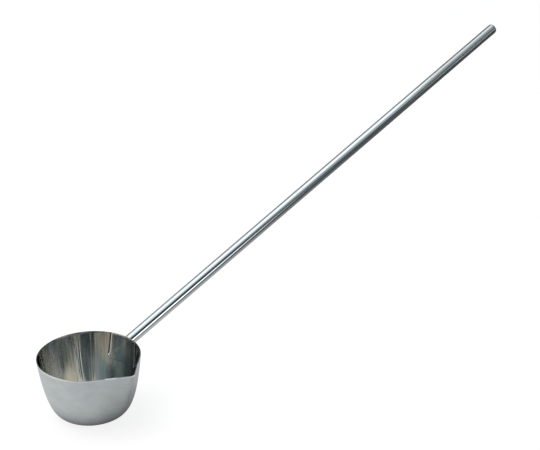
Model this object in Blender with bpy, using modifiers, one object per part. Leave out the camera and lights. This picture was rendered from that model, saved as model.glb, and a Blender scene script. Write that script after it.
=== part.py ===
"""Spouted water dipper: a pressed steel bowl with a folded pouring lip and a long welded tube handle.

Metres, +Z up. The bowl stands on z = 0 with its axis on the Z axis. The handle leaves along +X and
rises, and the lip points along -Y, a quarter turn from the handle.
"""

import math

import bmesh
import bpy
from mathutils import Vector

# Bowl
RIM_RADIUS = 0.070
BOWL_HEIGHT = 0.084
BASE_RADIUS = 0.0377  # flat part of the base
BOWL_SHEET = 0.001
WALL_TAPER = math.radians(6.3)  # lean of the wall at the rim
SIDE_REACH = 0.0694  # how far the wall keeps its lean before it turns in
CORNER_REACH = 0.0127  # how far the base keeps flat before it turns up

# Pouring lip, folded out of the wall
LIP_REACH = 0.0172  # past the rim circle
LIP_RADIUS = 0.0014  # outside of the fold at the rim
LIP_FOOT = 0.007  # height at which the fold has died out
LIP_FOOT_RADIUS = 0.034  # outside of the fold at its foot
LIP_FADE = 0.75  # exponent of the reach against height
LIP_SOFTENING = 3.5  # exponent of the fold's radius against depth
LIP_AZIMUTH = math.radians(-90)

# Handle
HANDLE_TILT = math.radians(14.9)  # rise above the horizontal
TUBE_DIAMETER = 0.0159
TUBE_WALL = 0.001
TUBE_LENGTH = 0.863  # from the rim's radius to the open end
CAP_DOME = 0.0042
CAP_SPIGOT = 0.012
CAP_SQUARENESS = 0.45  # 1 is an elliptic dome, less is flatter with a rounder edge
WELD_LEG = 0.0013
WELD_CROWN = 1.15  # over 1 is fuller than flat, as laid weld metal is
WELD_BELOW_RIM = 0.0003

# Backing plate
PLATE_WIDTH = 0.049
PLATE_HEIGHT = 0.0365
PLATE_SHEET = 0.001
PLATE_CORNER = 0.004
PLATE_BELOW_RIM = 0.0005

# Fits and fineness
CLEARANCE = 0.0003  # between pieces that touch
FOLD_LIMIT = 0.9  # most of the wall's radius that the fold's may be
LEAN_LIMIT = math.radians(84)  # past it the base is too flat to have a radius at a height
SHARP_ANGLE = math.radians(35)
MERGE_DISTANCE = 0.00001
BOWL_LEVELS = 18
LIP_STEPS = 15  # from the fold to where the flank has met the round wall
LIP_SECTOR = math.radians(42)
ROUND_STEPS = 27  # over the rest of each half
TUBE_STEPS = 48
WELD_STEPS = 40
PLATE_COLUMNS = 18
PLATE_ROWS = 10
CAP_ARC_STEPS = 10
SEARCH_STEPS = 40

TUBE_RADIUS = TUBE_DIAMETER / 2
WELD_RADIUS = TUBE_RADIUS + CLEARANCE + WELD_LEG
ROOT = Vector(
    (RIM_RADIUS, 0, BOWL_HEIGHT - WELD_BELOW_RIM - WELD_RADIUS / math.cos(HANDLE_TILT))
)
AXIS = Vector((math.cos(HANDLE_TILT), 0, math.sin(HANDLE_TILT)))


def wall_point(t):
    """Radius, height and inward lean of the outer profile: t is 0 at the rim and 1 at the flat base."""
    rim = Vector((RIM_RADIUS, BOWL_HEIGHT))
    side = rim - SIDE_REACH * Vector((math.sin(WALL_TAPER), math.cos(WALL_TAPER)))
    corner = Vector((BASE_RADIUS + CORNER_REACH, 0))
    base = Vector((BASE_RADIUS, 0))
    s = 1 - t
    point = s**3 * rim + 3 * s * s * t * side + 3 * s * t * t * corner + t**3 * base
    along = s * s * (side - rim) + 2 * s * t * (corner - side) + t * t * (base - corner)
    return point.x, point.y, math.atan2(-along.x, -along.y)


def wall_radius(height, outward=0.0):
    """Radius of the round wall at a height, on a skin moved outward by a distance along its normal."""
    if height >= BOWL_HEIGHT:
        past_rim = (height - BOWL_HEIGHT) * math.tan(WALL_TAPER)
        return RIM_RADIUS + past_rim + outward / math.cos(WALL_TAPER)
    low, high = 0.0, 1.0
    for _ in range(SEARCH_STEPS):
        middle = (low + high) / 2
        if wall_point(middle)[1] > height:
            low = middle
        else:
            high = middle
    radius, _, lean = wall_point(low)
    return radius + outward / math.cos(min(lean, LEAN_LIMIT))


def lip_shape(height):
    """Reach past the round wall and fold radius of the lip at a height."""
    rise = min(max((height - LIP_FOOT) / (BOWL_HEIGHT - LIP_FOOT), 0.0), 1.0)
    fold = LIP_RADIUS + LIP_FOOT_RADIUS * (1 - rise) ** LIP_SOFTENING
    return LIP_REACH * rise**LIP_FADE, fold


def outline_radius(angle, radius, reach, fold):
    """Distance from the axis to the outline at an angle from the lip.

    The outline is the round wall and the fold's circle, joined by the straight lines that touch both.
    """
    fold = min(fold, FOLD_LIMIT * radius)
    centre = radius + reach - fold
    touch = math.acos(min((radius - fold) / centre, 1.0))
    fold_end = math.atan2(fold * math.sin(touch), centre + fold * math.cos(touch))
    angle = abs(angle)
    if angle >= touch:
        return radius
    if angle > fold_end:
        return radius / math.cos(touch - angle)
    return centre * math.cos(angle) + math.sqrt(max(fold**2 - (centre * math.sin(angle)) ** 2, 0.0))


def outline_angles():
    """Angles from the lip, all the way round: close together at the fold, even over the round wall."""
    half = [LIP_SECTOR * (k / LIP_STEPS) ** 2 for k in range(LIP_STEPS)]
    step = (math.pi - LIP_SECTOR) / ROUND_STEPS
    half += [LIP_SECTOR + k * step for k in range(ROUND_STEPS + 1)]
    return half + [-angle for angle in half[-2:0:-1]]


def bowl_skin(outward=0.0):
    """Outer skin of the bowl, open at the rim and moved outward along its normal, and its rim's points."""
    bm = bmesh.new()
    rings = []
    for level in range(BOWL_LEVELS + 1):
        radius, height, lean = wall_point(level / BOWL_LEVELS)
        reach, fold = lip_shape(height)
        ring = []
        for angle in outline_angles():
            distance = outline_radius(angle, radius, reach, fold) + outward * math.cos(lean)
            azimuth = LIP_AZIMUTH + angle
            place = Vector((distance * math.cos(azimuth), distance * math.sin(azimuth), 0))
            place.z = height - outward * math.sin(lean)
            ring.append(bm.verts.new(place))
        rings.append(ring)
    for upper, lower in zip(rings, rings[1:]):
        for k in range(len(upper)):
            after = (k + 1) % len(upper)
            bm.faces.new((upper[k], lower[k], lower[after], upper[after]))
    middle = bm.verts.new((0, 0, -outward))
    last = rings[-1]
    for k in range(len(last)):
        bm.faces.new((last[k], middle, last[(k + 1) % len(last)]))
    return bm, rings[0]


def mesh_from(bm, name):
    mesh = bpy.data.meshes.new(name)
    bm.to_mesh(mesh)
    bm.free()
    return mesh


def steel(name, colour, roughness):
    material = bpy.data.materials.new(name)
    material.use_nodes = True
    shader = material.node_tree.nodes["Principled BSDF"]
    shader.inputs["Base Color"].default_value = (*colour, 1)
    shader.inputs["Metallic"].default_value = 1
    shader.inputs["Roughness"].default_value = roughness
    return material


def add_object(name, mesh, collection, material=None):
    piece = bpy.data.objects.new(name, mesh)
    collection.objects.link(piece)
    if material:
        mesh.materials.append(material)
    mesh.shade_smooth()
    mesh.set_sharp_from_angle(angle=SHARP_ANGLE)
    return piece


def turn(piece, steps):
    """Turn a profile that lies in the XZ plane about Z."""
    screw = piece.modifiers.new("turn", "SCREW")
    screw.steps = steps
    screw.render_steps = steps
    screw.use_merge_vertices = True
    screw.merge_threshold = MERGE_DISTANCE
    return screw


def profile_mesh(name, points, closed):
    bm = bmesh.new()
    verts = [bm.verts.new((radius, 0, height)) for radius, height in points]
    for first, second in zip(verts, verts[1:]):
        bm.edges.new((first, second))
    if closed:
        bm.edges.new((verts[-1], verts[0]))
    return mesh_from(bm, name)


def add_bowl(parts):
    bm, _ = bowl_skin()
    mesh = mesh_from(bm, "bowl")
    bowl = add_object("bowl", mesh, parts, steel("satin_steel", (0.60, 0.61, 0.60), 0.38))
    wall = bowl.modifiers.new("sheet", "SOLIDIFY")
    wall.thickness = BOWL_SHEET
    wall.offset = -1
    wall.use_even_offset = True
    return bowl


def add_bowl_cutter(cutters):
    """Solid of the bowl's outside, a clearance larger, that copes the tube's end."""
    bm, rim = bowl_skin(CLEARANCE)
    bm.faces.new(rim)
    bmesh.ops.recalc_face_normals(bm, faces=bm.faces)
    cutter = add_object("bowl_outside", mesh_from(bm, "bowl_outside"), cutters)
    cutter.hide_render = True
    cutter.display_type = "WIRE"
    return cutter


def add_handle_axis(parts):
    """Empty at the handle's root, with its Z along the handle."""
    axis = bpy.data.objects.new("handle_axis", None)
    parts.objects.link(axis)
    axis.location = ROOT
    axis.rotation_euler = (0, math.pi / 2 - HANDLE_TILT, 0)
    return axis


def add_tube(parts, axis, cutter):
    bore = TUBE_RADIUS - TUBE_WALL
    inside = -TUBE_DIAMETER  # starts within the bowl, and the cope takes the surplus off
    points = [(TUBE_RADIUS, TUBE_LENGTH), (TUBE_RADIUS, inside), (bore, inside), (bore, TUBE_LENGTH)]
    mesh = profile_mesh("handle_tube", points, closed=True)
    tube = add_object("handle_tube", mesh, parts, steel("polished_tube", (0.66, 0.68, 0.69), 0.16))
    tube.parent = axis
    turn(tube, TUBE_STEPS)
    cope = tube.modifiers.new("cope", "BOOLEAN")
    cope.object = cutter
    cope.operation = "DIFFERENCE"
    return tube


def add_end_cap(parts, axis):
    spigot = TUBE_RADIUS - TUBE_WALL - CLEARANCE
    points = []
    for k in range(CAP_ARC_STEPS + 1):
        angle = math.pi / 2 * (1 - k / CAP_ARC_STEPS)
        radius = TUBE_RADIUS * max(math.cos(angle), 0.0) ** CAP_SQUARENESS if k else 0.0
        points.append((radius, CAP_DOME * math.sin(angle)))
    points += [(spigot, 0), (spigot, -CAP_SPIGOT), (0, -CAP_SPIGOT)]
    mesh = profile_mesh("handle_end_cap", points, closed=False)
    cap = add_object("handle_end_cap", mesh, parts, steel("polished_cap", (0.64, 0.66, 0.67), 0.2))
    cap.parent = axis
    cap.location.z = TUBE_LENGTH + CLEARANCE
    turn(cap, TUBE_STEPS)
    return cap


def wall_exit(offset):
    """Distance along the handle at which a line beside its axis clears the bowl's wall."""
    low, high = -2 * TUBE_DIAMETER, 2 * TUBE_DIAMETER
    for _ in range(SEARCH_STEPS):
        middle = (low + high) / 2
        point = ROOT + offset + middle * AXIS
        if math.hypot(point.x, point.y) < wall_radius(point.z, CLEARANCE):
            low = middle
        else:
            high = middle
    return high


def add_weld(parts):
    """Fillet that follows the line where the tube meets the curved, leaning wall."""
    up = AXIS.cross(Vector((0, -1, 0)))
    side = Vector((0, 1, 0))
    foot = TUBE_RADIUS + CLEARANCE
    bm = bmesh.new()
    rings = []
    for step in range(WELD_STEPS):
        angle = 2 * math.pi * step / WELD_STEPS
        outward = math.cos(angle) * up + math.sin(angle) * side
        root = ROOT + foot * outward + wall_exit(foot * outward) * AXIS
        on_tube = root + WELD_LEG * AXIS
        on_wall = ROOT + WELD_RADIUS * outward + wall_exit(WELD_RADIUS * outward) * AXIS
        crown = root.lerp((on_tube + on_wall) / 2, WELD_CROWN)
        rings.append([bm.verts.new(point) for point in (root, on_tube, crown, on_wall)])
    for k in range(WELD_STEPS):
        here, after = rings[k], rings[(k + 1) % WELD_STEPS]
        for j in range(len(here)):
            following = (j + 1) % len(here)
            bm.faces.new((here[j], here[following], after[following], after[j]))
    bmesh.ops.recalc_face_normals(bm, faces=bm.faces)
    mesh = mesh_from(bm, "handle_weld")
    return add_object("handle_weld", mesh, parts, steel("weld", (0.58, 0.56, 0.52), 0.3))


def add_plate(parts):
    """Sheet that lies on the bowl's inner wall, with its lower corners rounded."""
    half = PLATE_WIDTH / 2
    top = BOWL_HEIGHT - PLATE_BELOW_RIM
    bm = bmesh.new()
    columns = []
    for column in range(PLATE_COLUMNS + 1):
        y = half * math.sin(math.pi / 2 * (2 * column / PLATE_COLUMNS - 1))
        past = max(abs(y) - (half - PLATE_CORNER), 0.0)
        lift = PLATE_CORNER - math.sqrt(max(PLATE_CORNER**2 - past**2, 0.0))
        low = top - PLATE_HEIGHT + lift
        points = []
        for row in range(PLATE_ROWS + 1):
            z = top + (low - top) * row / PLATE_ROWS
            radius = wall_radius(z, -BOWL_SHEET - CLEARANCE)
            points.append(bm.verts.new((math.sqrt(radius**2 - y**2), y, z)))
        columns.append(points)
    for left, right in zip(columns, columns[1:]):
        for row in range(PLATE_ROWS):
            bm.faces.new((left[row], left[row + 1], right[row + 1], right[row]))
    mesh = mesh_from(bm, "backing_plate")
    plate = add_object("backing_plate", mesh, parts, steel("plate_steel", (0.52, 0.54, 0.55), 0.3))
    sheet = plate.modifiers.new("sheet", "SOLIDIFY")
    sheet.thickness = PLATE_SHEET
    sheet.offset = -1
    sheet.use_even_offset = True
    return plate


def main():
    for piece in list(bpy.data.objects):
        bpy.data.objects.remove(piece, do_unlink=True)
    parts = bpy.data.collections.new("spouted_water_dipper")
    cutters = bpy.data.collections.new("cutters")
    bpy.context.scene.collection.children.link(parts)
    bpy.context.scene.collection.children.link(cutters)
    add_bowl(parts)
    add_plate(parts)
    axis = add_handle_axis(parts)
    add_tube(parts, axis, add_bowl_cutter(cutters))
    add_end_cap(parts, axis)
    add_weld(parts)


main()
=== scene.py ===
import bisect
import math

import bmesh
import bpy
from mathutils import Matrix, Vector


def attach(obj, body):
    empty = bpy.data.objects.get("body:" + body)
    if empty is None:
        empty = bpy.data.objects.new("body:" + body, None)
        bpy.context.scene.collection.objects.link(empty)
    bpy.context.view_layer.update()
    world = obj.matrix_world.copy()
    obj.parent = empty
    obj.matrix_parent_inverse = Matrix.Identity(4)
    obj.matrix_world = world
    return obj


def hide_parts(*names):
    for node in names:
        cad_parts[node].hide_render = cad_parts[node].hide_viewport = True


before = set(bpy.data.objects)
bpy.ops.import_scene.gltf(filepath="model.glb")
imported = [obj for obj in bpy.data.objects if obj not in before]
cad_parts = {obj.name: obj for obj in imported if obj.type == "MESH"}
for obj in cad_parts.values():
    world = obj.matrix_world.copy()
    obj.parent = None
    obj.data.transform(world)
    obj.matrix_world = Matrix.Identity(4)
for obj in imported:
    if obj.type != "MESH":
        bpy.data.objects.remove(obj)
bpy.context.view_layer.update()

print("frame loaded:", sorted(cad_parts))


def clearSelection():
    if bpy.context.mode != "OBJECT":
        bpy.ops.object.mode_set(mode="OBJECT")
    bpy.ops.object.select_all(action="DESELECT")


def startPiece(name):  # names the primitive that was just added and opens it for editing
    piece = bpy.context.object
    piece.name = name
    piece.data.name = name
    bpy.ops.object.transform_apply(location=True, rotation=True, scale=True)
    bpy.ops.object.mode_set(mode="EDIT")
    return piece


def faceOutward():
    bpy.ops.mesh.select_all(action="SELECT")
    bpy.ops.mesh.normals_make_consistent(inside=False)


def thicken(piece, sheet):  # gives an open shell its thickness, away from the side it faces
    bpy.ops.object.mode_set(mode="OBJECT")
    solid = piece.modifiers.new("sheet", "SOLIDIFY")
    solid.thickness = sheet
    solid.offset = -1
    solid.use_even_offset = True
    bpy.ops.object.modifier_apply(modifier=solid.name)
    bpy.ops.object.mode_set(mode="EDIT")


def finishPiece(piece, node, materials, smoothAngle=40):
    if bpy.context.mode != "OBJECT":
        bpy.ops.object.mode_set(mode="OBJECT")
    bpy.ops.object.shade_smooth_by_angle(angle=math.radians(smoothAngle))
    for material in materials:
        piece.data.materials.append(material)
    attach(piece, "root")
    if node:
        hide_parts(node)
    print("piece ready:", piece.name, len(piece.data.polygons), "faces")


# sizes are in metres, the same as in the solids that the pieces cover
bowl = dict(
    rimRadius=0.070, height=0.084, baseRadius=0.0377, sheet=0.001,
    taper=math.radians(6.3), sideReach=0.0694, cornerReach=0.0127,
    lipReach=0.0172, lipRadius=0.0014, lipFoot=0.007, lipFootRadius=0.034,
    lipFade=0.75, lipSoftening=3.5, lipSector=math.radians(84), widestFold=0.9,
    lipSteps=140, roundSteps=150, profileSteps=56, tableSteps=600,
    mergeWithin=0.000005, nearAxis=0.001,
    midHeight=0.05, edgeFacing=0.8, edgeDepth=0.0005,  # these tell outside, inside and cut edge apart
    rimRound=0.00028, rimSegments=3, rimGround=0.0003, edgeLean=0.4,
)
outsideSlot, insideSlot, edgeSlot, arrisSlot = range(4)


def wallPoint(t):  # radius, height and lean of the outer wall, from rim (0) to flat base (1)
    rim = Vector((bowl["rimRadius"], bowl["height"]))
    side = rim - bowl["sideReach"] * Vector((math.sin(bowl["taper"]), math.cos(bowl["taper"])))
    corner = Vector((bowl["baseRadius"] + bowl["cornerReach"], 0))
    base = Vector((bowl["baseRadius"], 0))
    s = 1 - t
    point = s**3 * rim + 3 * s * s * t * side + 3 * s * t * t * corner + t**3 * base
    along = s * s * (side - rim) + 2 * s * t * (corner - side) + t * t * (base - corner)
    return point.x, point.y, math.atan2(-along.x, -along.y)


wallTable = [wallPoint(k / bowl["tableSteps"]) for k in range(bowl["tableSteps"] + 1)]  # from rim to base
wallHeights = [-row[1] for row in wallTable]


def wallRadius(height, outward=0.0):
    if height >= bowl["height"]:
        lean = bowl["taper"]
        return bowl["rimRadius"] + (height - bowl["height"]) * math.tan(lean) + outward / math.cos(lean)
    k = min(max(bisect.bisect(wallHeights, -height), 1), len(wallTable) - 1)
    upper, lower = wallTable[k - 1], wallTable[k]
    share = (upper[1] - height) / (upper[1] - lower[1])
    lean = upper[2] + (lower[2] - upper[2]) * share
    return upper[0] + (lower[0] - upper[0]) * share + outward / math.cos(lean)


def pulledRadius(angle, radius, height):  # the round wall, pulled out to the folded lip
    rise = min(max((height - bowl["lipFoot"]) / (bowl["height"] - bowl["lipFoot"]), 0.0), 1.0)
    reach = bowl["lipReach"] * rise ** bowl["lipFade"]
    fold = bowl["lipRadius"] + bowl["lipFootRadius"] * (1 - rise) ** bowl["lipSoftening"]
    fold = min(fold, bowl["widestFold"] * radius)
    centre = radius + reach - fold
    touch = math.acos(min((radius - fold) / centre, 1.0))
    foldEnd = math.atan2(fold * math.sin(touch), centre + fold * math.cos(touch))
    angle = abs(angle)
    if angle >= touch:
        return radius
    if angle > foldEnd:
        return radius / math.cos(touch - angle)
    return centre * math.cos(angle) + math.sqrt(max(fold**2 - (centre * math.sin(angle)) ** 2, 0.0))


def spinWall(piece):  # half the section, turned finely over the lip and then the rest of the way round
    bm = bmesh.from_edit_mesh(piece.data)
    startAngle = -math.pi / 2 - bowl["lipSector"] / 2
    line = []
    for k in range(bowl["profileSteps"] + 1):
        radius, height, _ = wallPoint(k / bowl["profileSteps"])
        line.append(bm.verts.new((radius * math.cos(startAngle), radius * math.sin(startAngle), height)))
    line.append(bm.verts.new((0, 0, 0)))
    for first, second in zip(line, line[1:]):
        bm.edges.new((first, second))
    bmesh.update_edit_mesh(piece.data)
    bpy.ops.mesh.select_all(action="SELECT")
    turns = ((bowl["lipSteps"], bowl["lipSector"]), (bowl["roundSteps"], 2 * math.pi - bowl["lipSector"]))
    for steps, angle in turns:
        bpy.ops.mesh.spin(steps=steps, angle=angle, center=(0, 0, 0), axis=(0, 0, 1))
    bpy.ops.mesh.select_all(action="SELECT")
    bpy.ops.mesh.remove_doubles(threshold=bowl["mergeWithin"])
    faceOutward()


def pullLip(piece):
    bm = bmesh.from_edit_mesh(piece.data)
    for vert in bm.verts:
        radius = math.hypot(vert.co.x, vert.co.y)
        if radius < bowl["nearAxis"]:
            continue
        azimuth = math.atan2(vert.co.y, vert.co.x)
        fromLip = math.remainder(azimuth + math.pi / 2, 2 * math.pi)
        pulled = pulledRadius(fromLip, radius, vert.co.z)
        vert.co.x = pulled * math.cos(azimuth)
        vert.co.y = pulled * math.sin(azimuth)
    bmesh.update_edit_mesh(piece.data)


def sortFaces(piece):  # outside, inside and cut edge
    bm = bmesh.from_edit_mesh(piece.data)
    bm.normal_update()
    for face in bm.faces:
        middle, normal = face.calc_center_median(), face.normal
        outward = normal.x * middle.x + normal.y * middle.y + normal.z * (middle.z - bowl["midHeight"])
        if normal.z > bowl["edgeFacing"] and middle.z > bowl["height"] - bowl["edgeDepth"]:
            face.material_index = edgeSlot
        else:
            face.material_index = outsideSlot if outward > 0 else insideSlot


def roundRim(piece):
    bm = bmesh.from_edit_mesh(piece.data)
    for vert in bm.verts:  # the cut edge is ground off towards the outside
        slots = {face.material_index for face in vert.link_faces}
        if slots == {outsideSlot, edgeSlot}:
            vert.co.z -= bowl["rimGround"]
    bpy.ops.mesh.select_all(action="DESELECT")
    bm.select_mode = {"EDGE"}
    for rimEdge in bm.edges:
        slots = {face.material_index for face in rimEdge.link_faces}
        rimEdge.select_set(edgeSlot in slots and len(slots) > 1)
    bmesh.update_edit_mesh(piece.data)
    bpy.ops.mesh.bevel(
        offset=bowl["rimRound"], segments=bowl["rimSegments"], affect="EDGES", material=edgeSlot
    )
    bm = bmesh.from_edit_mesh(piece.data)
    bm.normal_update()
    for face in bm.faces:  # of the rounded edges, the outer is polished and painted as a highlight, and the inner is as the inside
        if face.material_index == edgeSlot:
            middle = face.calc_center_median()
            lean = (face.normal.x * middle.x + face.normal.y * middle.y) / math.hypot(middle.x, middle.y)
            if lean > bowl["edgeLean"]:
                face.material_index = arrisSlot
            elif lean < -bowl["edgeLean"]:
                face.material_index = insideSlot
    bmesh.update_edit_mesh(piece.data)


def makeBowl(outside, inside, edge, arris):
    clearSelection()
    bpy.ops.mesh.primitive_circle_add(vertices=3, radius=bowl["baseRadius"])
    piece = startPiece("bowlShell")
    bpy.ops.mesh.select_all(action="SELECT")
    bpy.ops.mesh.delete(type="VERT")
    spinWall(piece)
    pullLip(piece)
    thicken(piece, bowl["sheet"])
    sortFaces(piece)
    roundRim(piece)
    finishPiece(piece, "bowl", [outside, inside, edge, arris])


handle = dict(
    tilt=math.radians(14.9), diameter=0.0159, wall=0.001, length=0.863, around=128, rings=60,
    weldLeg=0.0013, weldBelowRim=0.0003, clearance=0.0003,
    searchReach=2, searchSteps=40,  # for the cope at the root, in diameters and halvings
)
tubeRadius = handle["diameter"] / 2
weldRadius = tubeRadius + handle["clearance"] + handle["weldLeg"]
rootHeight = bowl["height"] - handle["weldBelowRim"] - weldRadius / math.cos(handle["tilt"])
handleRoot = Vector((bowl["rimRadius"], 0, rootHeight))
handleAxis = Vector((math.cos(handle["tilt"]), 0, math.sin(handle["tilt"])))
handleTurn = (0, math.pi / 2 - handle["tilt"], 0)


def wallExit(offset):  # how far along the handle a line beside its axis leaves the bowl's wall
    high = handle["searchReach"] * handle["diameter"]
    low = -high
    for _ in range(handle["searchSteps"]):
        middle = (low + high) / 2
        point = handleRoot + offset + middle * handleAxis
        inBowl = math.hypot(point.x, point.y) < wallRadius(point.z, handle["clearance"])
        low, high = (middle, high) if inBowl else (low, middle)
    return high


def makeTube(material):
    clearSelection()
    halfLength = handle["length"] / 2
    bpy.ops.mesh.primitive_cylinder_add(
        vertices=handle["around"], radius=tubeRadius, depth=handle["length"], end_fill_type="NOTHING",
        location=handleRoot + handleAxis * halfLength, rotation=handleTurn,
    )
    piece = startPiece("handleTube")
    bm = bmesh.from_edit_mesh(piece.data)
    for vert in bm.verts:  # cope the root end to the wall
        along = (vert.co - handleRoot).dot(handleAxis)
        if along < halfLength:
            offset = vert.co - handleRoot - along * handleAxis
            vert.co += (wallExit(offset) - along) * handleAxis
    bmesh.update_edit_mesh(piece.data)
    bpy.ops.mesh.select_all(action="DESELECT")
    for edge in bm.edges:
        if edge.calc_length() > halfLength:
            edge.select_set(True)
    bpy.ops.mesh.subdivide(number_cuts=handle["rings"])
    thicken(piece, handle["wall"])
    finishPiece(piece, "handle_tube", [material])


endCap = dict(dome=0.0042, squareness=0.45, steps=12, tip=0.004, spigot=0.012)


def makeCap(material):
    clearSelection()
    start = handleRoot + handleAxis * (handle["length"] + handle["clearance"])
    spigotRadius = tubeRadius - handle["wall"] - handle["clearance"]
    spigot = handleAxis * endCap["spigot"]
    bpy.ops.mesh.primitive_circle_add(
        vertices=handle["around"], radius=spigotRadius, fill_type="NGON",
        location=start - spigot, rotation=handleTurn,
    )
    piece = startPiece("handleEndCap")
    bpy.ops.mesh.select_all(action="SELECT")
    bpy.ops.mesh.extrude_region_move(TRANSFORM_OT_translate={"value": spigot})
    here, radius = Vector(start), spigotRadius
    for k in range(endCap["steps"] + 1):  # ring by ring over the dome
        angle = math.pi / 2 * k / endCap["steps"]
        size = tubeRadius * max(math.cos(angle), endCap["tip"]) ** endCap["squareness"]
        place = start + handleAxis * endCap["dome"] * math.sin(angle)
        bpy.ops.mesh.extrude_region_move(TRANSFORM_OT_translate={"value": place - here})
        bpy.ops.transform.resize(value=(size / radius,) * 3, center_override=place)
        here, radius = place, size
    faceOutward()
    finishPiece(piece, "handle_end_cap", [material])


weld = dict(
    around=220, across=14, ripples=34, rippleDepth=0.00012, smoothAngle=70,
    core=0.4, thickness=0.6,  # shares of the weld's leg
    seat=0.5, cut=0.6,  # shares of the clearance and of the bead's own thickness
)


def makeWeld(material):
    clearSelection()
    thickness = handle["weldLeg"] * weld["thickness"]
    bpy.ops.mesh.primitive_torus_add(
        major_segments=weld["around"], minor_segments=weld["across"],
        major_radius=tubeRadius + handle["clearance"] + handle["weldLeg"] * weld["core"],
        minor_radius=thickness, location=handleRoot, rotation=handleTurn,
    )
    piece = startPiece("handleWeld")
    bm = bmesh.from_edit_mesh(piece.data)
    sideways = Vector((0, 1, 0))
    upward = handleAxis.cross(-sideways)
    for vert in bm.verts:  # wrap the ring round the root, on the wall
        along = (vert.co - handleRoot).dot(handleAxis)
        offset = vert.co - handleRoot - along * handleAxis
        turn = math.atan2(offset.dot(sideways), offset.dot(upward))
        ripple = weld["rippleDepth"] * abs(math.sin(turn * weld["ripples"] / 2))
        outward = offset.normalized()
        fromTube = max(offset.length, tubeRadius + handle["clearance"] * weld["seat"])
        seat = wallExit(outward * fromTube) + max(along + thickness * weld["cut"], 0)
        vert.co = handleRoot + outward * (fromTube - ripple) + handleAxis * seat
    bmesh.update_edit_mesh(piece.data)
    faceOutward()
    finishPiece(piece, "handle_weld", [material], weld["smoothAngle"])


plate = dict(
    width=0.049, height=0.0365, sheet=0.001, corner=0.004,
    belowRim=0.0005, clearance=0.0003, narrowing=0.0015,
    columns=120, rows=90, edgeRound=0.0003, edgeSegments=2, sharpFrom=math.radians(60),
    spotAcross=0.0122, spotHeight=0.0625, spotRing=0.0022, spotWidth=0.0007, spotDepth=0.00012,
)
plateFoot = bowl["height"] - plate["belowRim"] - plate["height"]


def makePlate(material):
    clearSelection()
    bpy.ops.mesh.primitive_grid_add(x_subdivisions=plate["columns"], y_subdivisions=plate["rows"], size=2)
    piece = startPiece("backingPlate")
    half = plate["width"] / 2
    top = plateFoot + plate["height"]
    bm = bmesh.from_edit_mesh(piece.data)
    for vert in bm.verts:  # lay the flat sheet on the bowl's inner wall
        upShare = (vert.co.y + 1) / 2
        y = half * math.sin(math.pi / 2 * vert.co.x)
        past = max(abs(y) - (half - plate["corner"]), 0.0)
        lift = plate["corner"] - math.sqrt(max(plate["corner"] ** 2 - past**2, 0.0))
        low = plateFoot + lift
        z = low + (top - low) * upShare
        y *= 1 - plate["narrowing"] / half * upShare  # the sides lean in towards the rim
        fromSpot = math.hypot(abs(y) - plate["spotAcross"], z - plate["spotHeight"]) - plate["spotRing"]
        sink = plate["spotDepth"] * math.exp(-((fromSpot / plate["spotWidth"]) ** 2))  # ring of a spot weld
        radius = wallRadius(z, -bowl["sheet"] - plate["clearance"]) + sink
        vert.co = Vector((math.sqrt(radius**2 - y**2), y, z))
    bmesh.update_edit_mesh(piece.data)
    faceOutward()
    bm = bmesh.from_edit_mesh(piece.data)
    bm.normal_update()
    if sum(face.normal.x for face in bm.faces) < 0:  # the sheet's thickness goes inward from the wall
        bpy.ops.mesh.flip_normals()
    thicken(piece, plate["sheet"])
    bpy.ops.mesh.select_all(action="DESELECT")
    bpy.ops.mesh.select_mode(type="EDGE")
    bpy.ops.mesh.edges_select_sharp(sharpness=plate["sharpFrom"])
    bpy.ops.mesh.bevel(offset=plate["edgeRound"], segments=plate["edgeSegments"], affect="EDGES")
    finishPiece(piece, "backing_plate", [material])


tack = dict(
    across=0.0240, height=0.0515, radius=0.0022, flatness=0.8, inward=0.0024, sag=0.18, stretch=1.15,
    segments=24, rings=14, smoothAngle=70,
)


def makeTack(material):  # the small tack of weld on the side edge of the plate
    clearSelection()
    reach = wallRadius(tack["height"], -tack["inward"])
    spot = Vector((math.sqrt(reach**2 - tack["across"] ** 2), tack["across"], tack["height"]))
    bpy.ops.mesh.primitive_uv_sphere_add(
        segments=tack["segments"], ring_count=tack["rings"], radius=tack["radius"], location=spot
    )
    piece = startPiece("plateTack")
    inward = Vector((-spot.x, -spot.y, 0)).normalized()
    bm = bmesh.from_edit_mesh(piece.data)
    for vert in bm.verts:  # flatten it on the wall and let it sag a little
        offset = vert.co - spot
        offset -= inward * offset.dot(inward) * (1 - tack["flatness"])
        sag = 1 + tack["sag"] * offset.z / tack["radius"]
        vert.co = spot + Vector((offset.x / sag, offset.y / sag, offset.z * tack["stretch"]))
    bmesh.update_edit_mesh(piece.data)
    finishPiece(piece, None, [material], tack["smoothAngle"])


def newSteel(name, colour, roughness, anisotropic=0.0):
    material = bpy.data.materials.new(name)
    material.use_nodes = True
    tree = material.node_tree
    shader = tree.nodes["Principled BSDF"]
    shader.inputs["Base Color"].default_value = (*colour, 1)
    shader.inputs["Metallic"].default_value = 1
    shader.inputs["Roughness"].default_value = roughness
    shader.inputs["Anisotropic"].default_value = anisotropic
    return material, tree, shader


def mathNode(tree, operation, first, second=None):  # each value is a number or comes from a node
    node = tree.nodes.new("ShaderNodeMath")
    node.operation = operation
    for socket, value in zip(node.inputs, (first, second)):
        if isinstance(value, (int, float)):
            socket.default_value = value
        elif value is not None:
            tree.links.new(value, socket)
    return node.outputs[0]


def plus(tree, first, second):
    return mathNode(tree, "ADD", first, second)


def minus(tree, first, second):
    return mathNode(tree, "SUBTRACT", first, second)


def times(tree, first, second):
    return mathNode(tree, "MULTIPLY", first, second)


def spread(tree, value, span, result):  # maps one span to another, with eased ends
    node = tree.nodes.new("ShaderNodeMapRange")
    node.interpolation_type = "SMOOTHSTEP"
    for socket, number in zip(list(node.inputs)[1:5], (*span, *result)):
        socket.default_value = number
    tree.links.new(value, node.inputs[0])
    return node.outputs[0]


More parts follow.
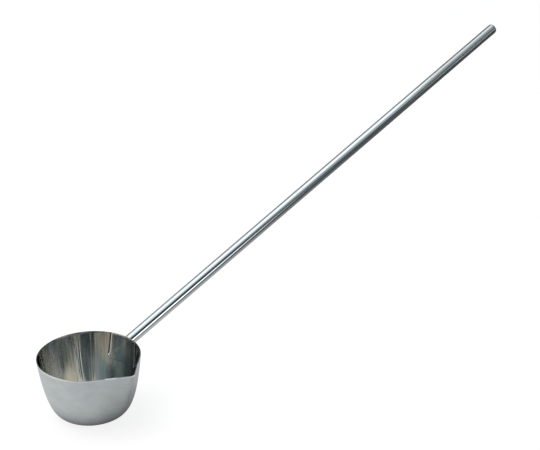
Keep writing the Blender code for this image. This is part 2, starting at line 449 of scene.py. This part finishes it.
def bandMask(tree, value, ends):  # 0 outside the two fades, 1 between them
    return times(tree, spread(tree, value, ends[:2], (0, 1)), spread(tree, value, ends[2:], (1, 0)))


def objectCoords(tree):  # x, y and z in metres
    place = tree.nodes.new("ShaderNodeTexCoord")
    split = tree.nodes.new("ShaderNodeSeparateXYZ")
    tree.links.new(place.outputs["Object"], split.inputs[0])
    return split.outputs


def roundCoords(tree, x, y):  # azimuth in radians and distance from the bowl's axis in metres
    azimuth = mathNode(tree, "ARCTAN2", y, x)
    radius = mathNode(tree, "SQRT", plus(tree, times(tree, x, x), times(tree, y, y)))
    return azimuth, radius


noiseRoughness = 0.6
noiseSpan = (0.3, 0.7)  # where most of the noise lies


def noiseOf(tree, coordinates, scales, detail=3.0):  # noise over scaled coordinates, 0 to 1
    joined = tree.nodes.new("ShaderNodeCombineXYZ")
    for socket, value, scale in zip(joined.inputs, coordinates, scales):
        tree.links.new(times(tree, value, scale), socket)
    noise = tree.nodes.new("ShaderNodeTexNoise")
    noise.inputs["Scale"].default_value = 1
    noise.inputs["Detail"].default_value = detail
    noise.inputs["Roughness"].default_value = noiseRoughness
    tree.links.new(joined.outputs[0], noise.inputs["Vector"])
    return noise.outputs["Fac"]


def mixColours(tree, amount, first, second):  # each colour is fixed or comes from a node
    mix = tree.nodes.new("ShaderNodeMix")
    mix.data_type = "RGBA"
    colours = [socket for socket in mix.inputs if socket.type == "RGBA"]
    for socket, value in zip(colours, (first, second)):
        if isinstance(value, tuple):
            socket.default_value = (*value, 1)
        else:
            tree.links.new(value, socket)
    tree.links.new(amount, mix.inputs[0])
    return [socket for socket in mix.outputs if socket.type == "RGBA"][0]


quarterTurn = 0.25  # the shader counts its rotation in whole turns


def aroundTangent(tree, shader, x, y):  # brushed round the bowl: the reflection spreads up and down
    joined = tree.nodes.new("ShaderNodeCombineXYZ")
    tree.links.new(times(tree, y, -1.0), joined.inputs[0])
    tree.links.new(x, joined.inputs[1])
    tree.links.new(joined.outputs[0], shader.inputs["Tangent"])
    shader.inputs["Anisotropic Rotation"].default_value = quarterTurn


def acrossPlate(tree, y, z, lean):  # distance from the plate's middle, measured at its foot
    leanedIn = times(tree, minus(tree, z, plateFoot), lean)
    return plus(tree, mathNode(tree, "ABSOLUTE", y), leanedIn)


satin = dict(
    colour=(0.61, 0.65, 0.66), dark=(0.1, 0.11, 0.11), roughness=(0.30, 0.40), anisotropic=0.6,
    wideScale=(2.4, 60.0, 640.0), wideDepth=0.09,
    fineScale=(1.2, 300.0, 2600.0), fineDetail=4.0, fineDepth=0.09,
    cloudScale=(70.0, 70.0, 110.0), cloudDepth=0.10,
    # the colour of the rim band is ground steel, lightened as a painted highlight along the rim
    groundFrom=(0.0814, 0.0823), groundAndHighlightColour=(0.69, 0.71, 0.72),
)


def satinOutside():
    material, tree, shader = newSteel(
        "satinBowl", satin["colour"], satin["roughness"][0], satin["anisotropic"]
    )
    x, y, z = objectCoords(tree)
    azimuth, radius = roundCoords(tree, x, y)
    aroundTangent(tree, shader, x, y)
    wide = noiseOf(tree, (azimuth, radius, z), satin["wideScale"])
    fine = noiseOf(tree, (azimuth, radius, z), satin["fineScale"], satin["fineDetail"])
    cloud = noiseOf(tree, (x, y, z), satin["cloudScale"])  # uneven polish
    colour = satin["colour"]
    for marks, depth in ((wide, "wideDepth"), (fine, "fineDepth"), (cloud, "cloudDepth")):
        colour = mixColours(tree, spread(tree, marks, noiseSpan, (satin[depth], 0)), colour, satin["dark"])
    ground = spread(tree, z, satin["groundFrom"], (0, 1))  # the rim is ground bright all round, and lightened further as a painted highlight along the rim
    colour = mixColours(tree, ground, colour, satin["groundAndHighlightColour"])
    tree.links.new(colour, shader.inputs["Base Color"])
    tree.links.new(spread(tree, fine, noiseSpan, satin["roughness"]), shader.inputs["Roughness"])
    return material


burnished = dict(
    dark=(0.52, 0.53, 0.52), light=(0.61, 0.61, 0.59), roughness=(0.08, 0.14), anisotropic=0.95,
    wallFrom=(0.006, 0.026), uprightScale=(9.0, 30.0, 14.0), ringScale=(1500.0, 300.0),
    waveScale=(11.0, 0.0, 5.0), waveDetail=2.0, waveDepth=0.4, waveDistance=0.001,
    heatBeside=(0.026, 0.046), heatAbove=(0.050, 0.076), heatColour=(0.66, 0.56, 0.44),
    heatShare=0.7, heatDull=0.08,
    # painted shade: these settings draw a dark line in the gap round the plate, weaker below it
    creviceSide=(0.0238, 0.0246, 0.0266, 0.0275), creviceAbove=(0.049, 0.052),
    creviceBelow=(0.0448, 0.0456, 0.0464, 0.0472), creviceBeside=(0.0225, 0.024), belowShare=0.4,
    creviceShadeColour=(0.05, 0.055, 0.05),
)


def burnishedInside():
    material, tree, shader = newSteel(
        "burnishedBowl", burnished["light"], burnished["roughness"][0], burnished["anisotropic"]
    )
    x, y, z = objectCoords(tree)
    azimuth, radius = roundCoords(tree, x, y)
    aroundTangent(tree, shader, x, y)
    onWall = spread(tree, z, burnished["wallFrom"], (0, 1))
    upright = noiseOf(tree, (azimuth, radius, z), burnished["uprightScale"])
    rings = noiseOf(tree, (radius, z), burnished["ringScale"])  # turned marks on the bottom
    streaks = plus(tree, rings, times(tree, minus(tree, upright, rings), onWall))
    colour = mixColours(tree, streaks, burnished["dark"], burnished["light"])
    across = acrossPlate(tree, y, z, plate["narrowing"] / plate["height"])
    atHandle = mathNode(tree, "GREATER_THAN", x, 0.0)
    # heat colour on both sides of the plate
    beside = spread(tree, across, burnished["heatBeside"], (burnished["heatShare"], 0))
    above = spread(tree, z, burnished["heatAbove"], (0, 1))
    heat = times(tree, beside, times(tree, above, atHandle))
    colour = mixColours(tree, heat, colour, burnished["heatColour"])
    # painted shade: a dark line in the gap round the plate, weaker below it
    side = times(
        tree, bandMask(tree, across, burnished["creviceSide"]),
        spread(tree, z, burnished["creviceAbove"], (0, 1)),
    )
    below = times(
        tree, bandMask(tree, z, burnished["creviceBelow"]),
        spread(tree, across, burnished["creviceBeside"], (burnished["belowShare"], 0)),
    )
    creviceShade = times(tree, mathNode(tree, "MAXIMUM", side, below), atHandle)
    colour = mixColours(tree, creviceShade, colour, burnished["creviceShadeColour"])
    tree.links.new(colour, shader.inputs["Base Color"])
    roughness = spread(tree, streaks, noiseSpan, burnished["roughness"])
    dulled = times(tree, heat, burnished["heatDull"])
    tree.links.new(plus(tree, roughness, dulled), shader.inputs["Roughness"])
    # slight waves left by drawing the sheet
    waves = noiseOf(tree, (azimuth, radius, z), burnished["waveScale"], burnished["waveDetail"])
    bump = tree.nodes.new("ShaderNodeBump")
    bump.inputs["Distance"].default_value = burnished["waveDistance"]
    tree.links.new(times(tree, times(tree, waves, onWall), burnished["waveDepth"]), bump.inputs["Height"])
    tree.links.new(bump.outputs[0], shader.inputs["Normal"])
    return material


plateFinish = dict(
    colour=(0.52, 0.545, 0.56), roughness=0.14, anisotropic=0.8,
    cloudScale=(260.0, 260.0, 260.0), cloudColour=(0.44, 0.47, 0.49), cloudShare=0.6,
    # the side edge band is ground steel, painted bright as a painted highlight along the plate's edges
    edgeFrom=(0.0224, 0.0230), edgeLean=0.041, edgeHighlightColour=(0.95, 0.96, 0.95), edgeRoughness=0.35,
)


def plateSteel():
    material, tree, shader = newSteel(
        "plateSheet", plateFinish["colour"], plateFinish["roughness"], plateFinish["anisotropic"]
    )
    x, y, z = objectCoords(tree)
    aroundTangent(tree, shader, x, y)
    across = acrossPlate(tree, y, z, plateFinish["edgeLean"])
    edge = spread(tree, across, plateFinish["edgeFrom"], (0, 1))  # ground side edges, painted bright as a painted highlight along them
    cloud = noiseOf(tree, (x, y, z), plateFinish["cloudScale"])
    clouded = spread(tree, cloud, noiseSpan, (0, plateFinish["cloudShare"]))
    colour = mixColours(tree, clouded, plateFinish["colour"], plateFinish["cloudColour"])
    colour = mixColours(tree, edge, colour, plateFinish["edgeHighlightColour"])
    tree.links.new(colour, shader.inputs["Base Color"])
    roughness = spread(tree, edge, (0, 1), (plateFinish["roughness"], plateFinish["edgeRoughness"]))
    tree.links.new(roughness, shader.inputs["Roughness"])
    return material


tubeFinish = dict(
    colour=(0.70, 0.72, 0.73), dull=(0.46, 0.48, 0.485), roughness=(0.06, 0.09),
    lineScale=(3.0, 900.0, 900.0), lineDetail=4.0, lineSpan=(0.35, 0.65), lineDepth=0.14,
    satinFrom=(0.60, 0.74), satinRoughness=0.19,
    straw=(0.74, 0.62, 0.40), strawUntil=(0.002, 0.010), strawShare=0.4,
)


def polishedTube():
    material, tree, shader = newSteel("polishedTube", tubeFinish["colour"], tubeFinish["roughness"][0])
    x, y, z = objectCoords(tree)
    height = minus(tree, z, handleRoot.z)
    reach = minus(tree, x, handleRoot.x)
    along = plus(tree, times(tree, reach, handleAxis.x), times(tree, height, handleAxis.z))
    upward = minus(tree, times(tree, height, handleAxis.x), times(tree, reach, handleAxis.z))
    # lines drawn along the tube
    lines = noiseOf(tree, (along, y, upward), tubeFinish["lineScale"], tubeFinish["lineDetail"])
    lined = spread(tree, lines, tubeFinish["lineSpan"], (tubeFinish["lineDepth"], 0))
    colour = mixColours(tree, lined, tubeFinish["colour"], tubeFinish["dull"])
    satinEnd = spread(tree, along, tubeFinish["satinFrom"], (0, 1))  # darker and rougher towards the far end of the tube
    colour = mixColours(tree, satinEnd, colour, tubeFinish["dull"])
    heated = spread(tree, along, tubeFinish["strawUntil"], (tubeFinish["strawShare"], 0))
    colour = mixColours(tree, heated, colour, tubeFinish["straw"])
    tree.links.new(colour, shader.inputs["Base Color"])
    roughness = spread(tree, lines, tubeFinish["lineSpan"], tubeFinish["roughness"])
    rise = times(tree, satinEnd, tubeFinish["satinRoughness"] - tubeFinish["roughness"][0])
    tree.links.new(plus(tree, roughness, rise), shader.inputs["Roughness"])
    return material


# colour and roughness of the plain metals; painted shade darkens the cut edge, and painted highlights make
# the polished edge and the tack brighter than steel
plainMetal = dict(
    cutEdgeShaded=((0.24, 0.25, 0.25), 0.25), polishedEdgeHighlight=((0.93, 0.94, 0.94), 0.2),
    tackHighlightMetal=((1.0, 1.0, 0.99), 0.1), weldMetal=((0.6, 0.56, 0.48), 0.3),
)


def plainSteel(name):
    return newSteel(name, *plainMetal[name])[0]


makeBowl(satinOutside(), burnishedInside(), plainSteel("cutEdgeShaded"), plainSteel("polishedEdgeHighlight"))
makePlate(plateSteel())
makeTack(plainSteel("tackHighlightMetal"))
tubeSteel = polishedTube()
makeTube(tubeSteel)
makeCap(tubeSteel)
makeWeld(plainSteel("weldMetal"))


view = dict(
    azimuth=math.radians(-47.42), elevation=math.radians(24.95), roll=math.radians(-1.54),
    distance=2.663, aim=(0.30155, -0.05875, 0.18433), focalPixels=1899.8, imageWidth=540,
    sensor=36.0, clipStart=0.05,
)
turnSine, turnCosine = math.sin(view["azimuth"]), math.cos(view["azimuth"])
levelRight = Vector((turnCosine, turnSine, 0))
levelAway = Vector((-turnSine, turnCosine, 0))
backward = Vector((0, 0, math.sin(view["elevation"]))) - levelAway * math.cos(view["elevation"])


def makeCamera():
    camera = bpy.data.objects.new("camera", bpy.data.cameras.new("camera"))
    bpy.context.scene.collection.objects.link(camera)
    levelUp = backward.cross(levelRight)
    right = levelRight * math.cos(view["roll"]) + levelUp * math.sin(view["roll"])
    up = levelUp * math.cos(view["roll"]) - levelRight * math.sin(view["roll"])
    pose = Matrix((right, up, backward)).transposed().to_4x4()
    pose.translation = Vector(view["aim"]) + backward * view["distance"]
    camera.matrix_world = pose
    camera.data.sensor_fit = "HORIZONTAL"
    camera.data.sensor_width = view["sensor"]
    camera.data.lens = view["focalPixels"] * view["sensor"] / view["imageWidth"]
    camera.data.clip_start = view["clipStart"]
    bpy.context.scene.camera = camera
    print("camera placed")


def direction(bearing, elevation):  # degrees: bearing clockwise from straight away from the camera
    bearing, elevation = math.radians(bearing), math.radians(elevation)
    level = levelAway * math.cos(bearing) + levelRight * math.sin(bearing)
    return level * math.cos(elevation) + Vector((0, 0, math.sin(elevation)))


# to the camera the floor is white paper with a faint shadow; in the steel it is a pool of light
floor = dict(
    size=30.0, white=0.97, rough=0.9, paper=0.85, mirrored=0.92,
    poolRight=-0.45, poolAway=-0.15, poolReach=1.6,
    pool=[(0.0, 0.95), (0.12, 0.91), (0.32, 0.73), (0.48, 0.45), (0.64, 0.25), (0.85, 0.04)],
    shadeRight=0.085, shadeAway=-0.015, shadeFrom=(0.03, 0.112), shade=0.42,
    contactFrom=(0.038, 0.084), contact=0.25,
)


def distanceFrom(tree, place, right, away):
    node = tree.nodes.new("ShaderNodeVectorMath")
    node.operation = "DISTANCE"
    node.inputs[1].default_value = levelRight * right + levelAway * away
    tree.links.new(place, node.inputs[0])
    return node.outputs["Value"]


def makeFloor():
    clearSelection()
    bpy.ops.mesh.primitive_plane_add(size=floor["size"], location=(0, 0, 0))
    ground = bpy.context.object
    ground.name = "floor"
    material = bpy.data.materials.new("floorPaper")
    material.use_nodes = True
    tree = material.node_tree
    paper = tree.nodes["Principled BSDF"]
    paper.inputs["Base Color"].default_value = (floor["white"],) * 3 + (1,)
    paper.inputs["Roughness"].default_value = floor["rough"]
    paper.inputs["Specular IOR Level"].default_value = 0
    place = tree.nodes.new("ShaderNodeTexCoord").outputs["Object"]
    # the pool fades with distance
    fromPool = distanceFrom(tree, place, floor["poolRight"], floor["poolAway"])
    pool = tree.nodes.new("ShaderNodeValToRGB")
    while len(pool.color_ramp.elements) < len(floor["pool"]):
        pool.color_ramp.elements.new(0.5)
    for element, (share, level) in zip(pool.color_ramp.elements, floor["pool"]):
        element.position = share
        element.color = (level, level, level, 1)
    tree.links.new(mathNode(tree, "DIVIDE", fromPool, floor["poolReach"]), pool.inputs[0])
    # the bowl's own shade beside it and round its foot
    fromShade = distanceFrom(tree, place, floor["shadeRight"], floor["shadeAway"])
    shade = spread(tree, fromShade, floor["shadeFrom"], (floor["shade"], 1))
    contact = spread(tree, distanceFrom(tree, place, 0, 0), floor["contactFrom"], (floor["contact"], 1))
    lit = times(tree, pool.outputs[0], times(tree, shade, contact))
    rays = tree.nodes.new("ShaderNodeLightPath")
    direct = rays.outputs["Is Camera Ray"]
    reflected = mathNode(tree, "MAXIMUM", rays.outputs["Is Glossy Ray"], rays.outputs["Is Transmission Ray"])
    glow = tree.nodes.new("ShaderNodeEmission")
    tree.links.new(mathNode(tree, "MAXIMUM", times(tree, lit, reflected), direct), glow.inputs["Strength"])
    mix = tree.nodes.new("ShaderNodeMixShader")
    glowShare = mathNode(
        tree, "MAXIMUM", times(tree, direct, floor["paper"]), times(tree, reflected, floor["mirrored"])
    )
    tree.links.new(glowShare, mix.inputs[0])
    tree.links.new(paper.outputs[0], mix.inputs[1])
    tree.links.new(glow.outputs[0], mix.inputs[2])
    tree.links.new(mix.outputs[0], tree.nodes["Material Output"].inputs["Surface"])
    ground.data.materials.append(material)
    print("floor laid")


# each glow: bearing, elevation, half-width of its bright core and of its fade, level, colour
sky = dict(
    base=(0.10, 0.14, 0.16), lowShare=0.35, lowUntil=0.35, panelLevel=1.3, panelLowest=0.05,
    panelRight=(-1.3, -0.7, 0.15, 0.95), panelAway=(-0.35, 0.3, 0.85, 1.2),
    glows=[
        (-117, 27, 8, 38, 1.1, (1.14, 1.0, 0.78)),  # near window at the left
        (-70, 37, 4, 25, 1.35, (1.06, 1.0, 0.88)),  # far window at the left
        (-36, 24, 4, 20, 0.4, (0.85, 1.0, 1.1)),  # far wall beside it
        (12, 46, 5, 16, 0.7, (1.08, 1.0, 0.86)),  # lamp beyond the handle
        (20, 31, 6, 24, 0.38, (0.92, 1.0, 0.96)),  # pale wall behind
        (58, 27, 10, 34, 0.36, (0.8, 1.0, 1.04)),  # pale wall at the right
        (113, 12.5, 7, 13, 2.6, (1, 1, 1)),  # low card at the right
        (143, 54, 5, 12, 2.5, (1.03, 1.0, 0.92)),  # small card behind the camera, at the right
        (-15, 6, 6, 20, 0.6, (0.95, 1, 1)),  # low far wall
        (86, 9, 6, 9.5, 1.0, (1, 1, 1)),  # narrow card seen in the handle's far end
        (90, 45, 4, 11, 0.5, (1, 1, 1)),  # dim card above it
        (109, 43, 3, 10, -0.11, (1, 1.25, 1.35)),  # black flag that draws the handle's dark line
    ],
)


def makeWorld():
    world = bpy.data.worlds.new("studio")
    bpy.context.scene.world = world
    world.use_nodes = True
    tree = world.node_tree
    background = tree.nodes["Background"]
    place = tree.nodes.new("ShaderNodeTexCoord")

    def along(axis):
        facing = tree.nodes.new("ShaderNodeVectorMath")
        facing.operation = "DOT_PRODUCT"
        facing.inputs[1].default_value = axis
        tree.links.new(place.outputs["Generated"], facing.inputs[0])
        return facing.outputs["Value"]

    def scaled(amount, colour):
        node = tree.nodes.new("ShaderNodeVectorMath")
        node.operation = "SCALE"
        node.inputs[0].default_value = colour
        tree.links.new(amount, node.inputs["Scale"])
        return node.outputs[0]

    def addGlow(total, amount, colour):
        joined = tree.nodes.new("ShaderNodeVectorMath")
        joined.operation = "ADD"
        tree.links.new(total, joined.inputs[0])
        tree.links.new(scaled(amount, colour), joined.inputs[1])
        return joined.outputs[0]

    rise = along((0, 0, 1))
    total = scaled(spread(tree, rise, (0, sky["lowUntil"]), (sky["lowShare"], 1)), sky["base"])
    # the overhead panel is a soft-edged rectangle on a level ceiling
    upward = mathNode(tree, "MAXIMUM", rise, sky["panelLowest"])
    right = mathNode(tree, "DIVIDE", along(levelRight), upward)
    away = mathNode(tree, "DIVIDE", along(levelAway), upward)
    panel = times(tree, bandMask(tree, right, sky["panelRight"]), bandMask(tree, away, sky["panelAway"]))
    total = addGlow(total, times(tree, panel, sky["panelLevel"]), (1, 1, 1))
    for bearing, elevation, core, fade, level, colour in sky["glows"]:
        cosine = mathNode(tree, "MINIMUM", along(direction(bearing, elevation)), 1.0)
        angle = mathNode(tree, "ARCCOSINE", cosine)
        amount = spread(tree, angle, (math.radians(core), math.radians(fade)), (level, 0))
        total = addGlow(total, amount, colour)
    tree.links.new(total, background.inputs["Color"])
    white = tree.nodes.new("ShaderNodeBackground")  # what the camera sees behind the object
    white.inputs["Color"].default_value = (1, 1, 1, 1)
    rays = tree.nodes.new("ShaderNodeLightPath")
    mix = tree.nodes.new("ShaderNodeMixShader")
    tree.links.new(rays.outputs["Is Camera Ray"], mix.inputs[0])
    tree.links.new(background.outputs[0], mix.inputs[1])
    tree.links.new(white.outputs[0], mix.inputs[2])
    tree.links.new(mix.outputs[0], tree.nodes["World Output"].inputs["Surface"])
    print("sky made:", len(sky["glows"]), "glows")


softLamp = dict(right=-0.8, away=0.3, height=2.2, size=1.8, power=45.0)


def makeLamp():  # lights the floor; the steel shows the panel above instead
    light = bpy.data.lights.new("softLamp", "AREA")
    light.size = softLamp["size"]
    light.energy = softLamp["power"]
    lamp = bpy.data.objects.new("softLamp", light)
    bpy.context.scene.collection.objects.link(lamp)
    overFloor = levelRight * softLamp["right"] + levelAway * softLamp["away"]
    lamp.location = overFloor + Vector((0, 0, softLamp["height"]))
    lamp.rotation_euler = (-lamp.location).to_track_quat("-Z", "Y").to_euler()
    lamp.visible_glossy = False
    print("lamp hung")


makeCamera()
makeFloor()
makeWorld()
makeLamp()
bpy.context.scene.view_settings.view_transform = "Standard"
